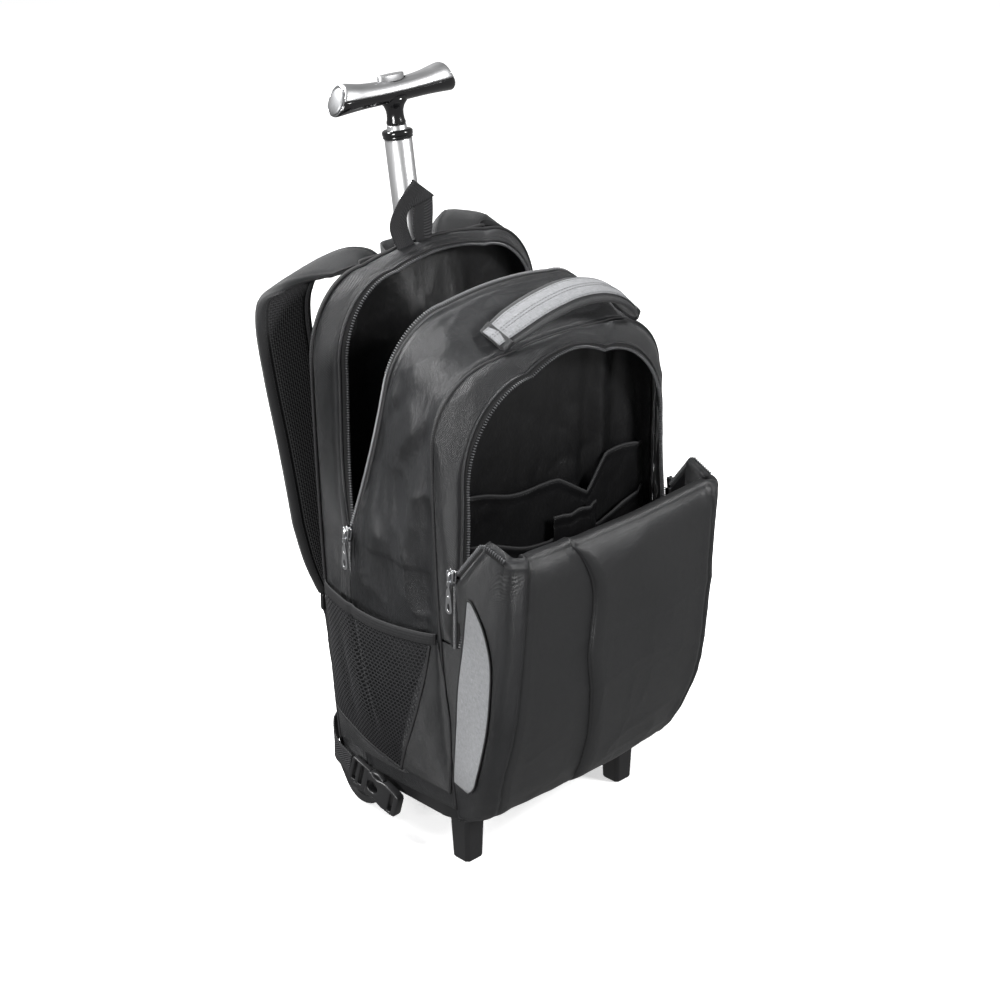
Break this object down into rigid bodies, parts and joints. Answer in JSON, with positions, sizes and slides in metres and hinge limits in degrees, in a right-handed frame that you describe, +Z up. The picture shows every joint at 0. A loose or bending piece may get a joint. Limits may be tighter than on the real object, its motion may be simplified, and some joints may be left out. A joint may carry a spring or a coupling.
{
  "type": "wheeled backpack",
  "caption": "Soft zipped backpack on a stiff base with rolling wheels, front feet, a telescopic T handle, shoulder straps and an unzipped front compartment.",
  "frame": {"origin": "middle of the footprint box, on the floor", "axes": "+X to the right seen from the front, +Y to the back (the side with the handle tube and the wheels), +Z up"},
  "size_m": [0.319, 0.309, 0.6788],
  "materials": {
    "coated_fabric": "satin polyester weave, softly wrinkled",
    "front_panel": "smooth coated fabric with a leather-like sheen",
    "lining": "thin glossy lining",
    "padding": "padded fabric, air mesh on the inner faces",
    "grey_fabric": "heathered grey weave",
    "webbing": "diagonal ribbed webbing",
    "mesh": "open hexagon mesh",
    "zip": "black moulded teeth on woven tape",
    "slider_metal": "bright plated",
    "black_plastic": "satin moulded",
    "gloss_black": "high gloss",
    "tube": "satin drawn tube",
    "silver_shell": "polished silver coating",
    "tyre": "matt",
    "axle_steel": "turned"
  },
  "bodies": {
    "bag": {"body_shell": "coated_fabric", "rear_gusset": "coated_fabric", "front_gusset": "coated_fabric", "front_pocket": "front_panel", "organiser_panel": "lining", "slip_pocket": "lining", "card_pocket": "lining", "pen_pocket": "lining", "rear_lining": "lining", "bottom_board": "lining", "back_panel": "padding", "shoulder_strap_left": "padding", "shoulder_strap_right": "padding", "carry_handle": "padding", "side_insert_left": "grey_fabric", "side_insert_right": "grey_fabric", "handle_band": "grey_fabric", "hanging_loop": "webbing", "lower_webbing_left": "webbing", "lower_webbing_right": "webbing", "webbing_tail_left": "webbing", "webbing_tail_right": "webbing", "mesh_pocket_left": "mesh", "mesh_pocket_right": "mesh", "main_zip_rear": "zip", "main_zip_front": "zip", "front_zip": "zip", "main_slider_left": "slider_metal", "main_slider_right": "slider_metal", "main_puller_left": "slider_metal", "main_puller_right": "slider_metal", "front_slider_left": "slider_metal", "front_slider_right": "slider_metal", "front_puller_left": "slider_metal", "front_puller_right": "slider_metal", "base_tray": "black_plastic", "wheel_housing_left": "black_plastic", "wheel_housing_right": "black_plastic", "foot_left": "black_plastic", "foot_right": "black_plastic", "tube_socket": "black_plastic", "strap_adjuster_left": "black_plastic", "strap_adjuster_right": "black_plastic", "release_buckle_left": "black_plastic", "release_buckle_right": "black_plastic", "outer_tube": "tube", "axle_left": "axle_steel", "axle_right": "axle_steel"},
    "middle": {"middle_tube": "tube", "collar": "black_plastic"},
    "grip": {"inner_tube": "tube", "grip_lower": "gloss_black", "grip_upper": "silver_shell"},
    "button": {"lock_button": "silver_shell"},
    "wheel_left": {"tyre_left": "tyre", "hub_left": "black_plastic"},
    "wheel_right": {"tyre_right": "tyre", "hub_right": "black_plastic"}
  },
  "joints": [
    {"name": "middle_slide", "type": "slide", "parent": "bag", "child": "middle", "axis": [0, 0.1392, 0.9903], "range_m": [-0.084, 0.15]},
    {"name": "grip_slide", "type": "slide", "parent": "middle", "child": "grip", "axis": [0, 0.1392, 0.9903], "range_m": [0, 0.23]},
    {"name": "button_press", "type": "slide", "parent": "grip", "child": "button", "axis": [0, 0.1392, 0.9903], "range_m": [-0.003, 0], "stiffness_N_per_m": 400},
    {"name": "wheel_left_spin", "type": "hinge", "parent": "bag", "child": "wheel_left", "pos_m": [-0.099, 0.09151, 0.027], "axis": [1, 0, 0], "continuous": true},
    {"name": "wheel_right_spin", "type": "hinge", "parent": "bag", "child": "wheel_right", "pos_m": [0.099, 0.09151, 0.027], "axis": [1, 0, 0], "continuous": true}
  ]
}
